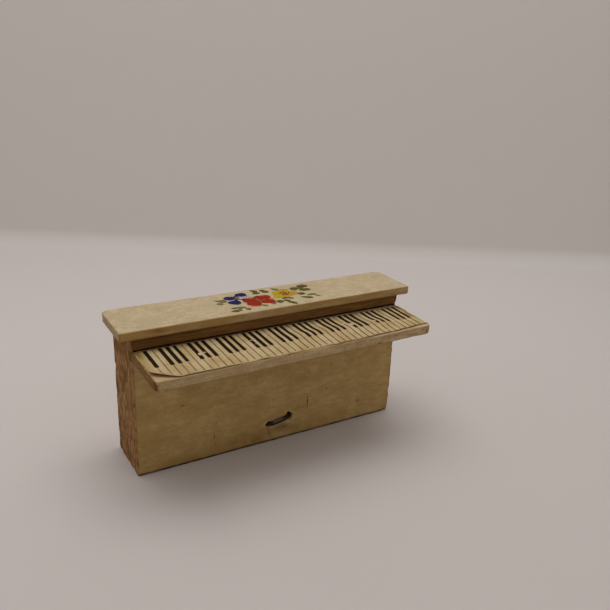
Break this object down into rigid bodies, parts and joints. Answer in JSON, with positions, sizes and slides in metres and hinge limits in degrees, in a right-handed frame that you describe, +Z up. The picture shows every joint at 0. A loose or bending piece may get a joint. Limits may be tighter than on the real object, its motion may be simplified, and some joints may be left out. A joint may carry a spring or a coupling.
{
  "type": "miniature upright piano",
  "caption": "Small block-shaped toy piano with an overhanging flower-painted lid, a shelf bearing a printed paper keyboard, and a wire staple for pedals.",
  "frame": {"origin": "bottom centre of the whole object's bounding box, on the surface it stands on; the block's front face stands 0.22 mm behind it", "axes": "+X along the keyboard to the player's right, +Y from the keyboard shelf towards the back, +Z up"},
  "size_m": [0.097, 0.037, 0.0461],
  "materials": {
    "case_wood": "matte",
    "lid_wood": "satin",
    "shelf_wood": "matte",
    "printed_paper": "matte",
    "staple_steel": "satin",
    "brad_steel": "matte"
  },
  "bodies": {
    "root": {"case_block": "case_wood", "lid": "lid_wood", "keyboard_shelf": "shelf_wood", "keyboard_paper": "printed_paper", "pedal_staple": "staple_steel", "lid_brads": "brad_steel"}
  },
  "joints": []
}
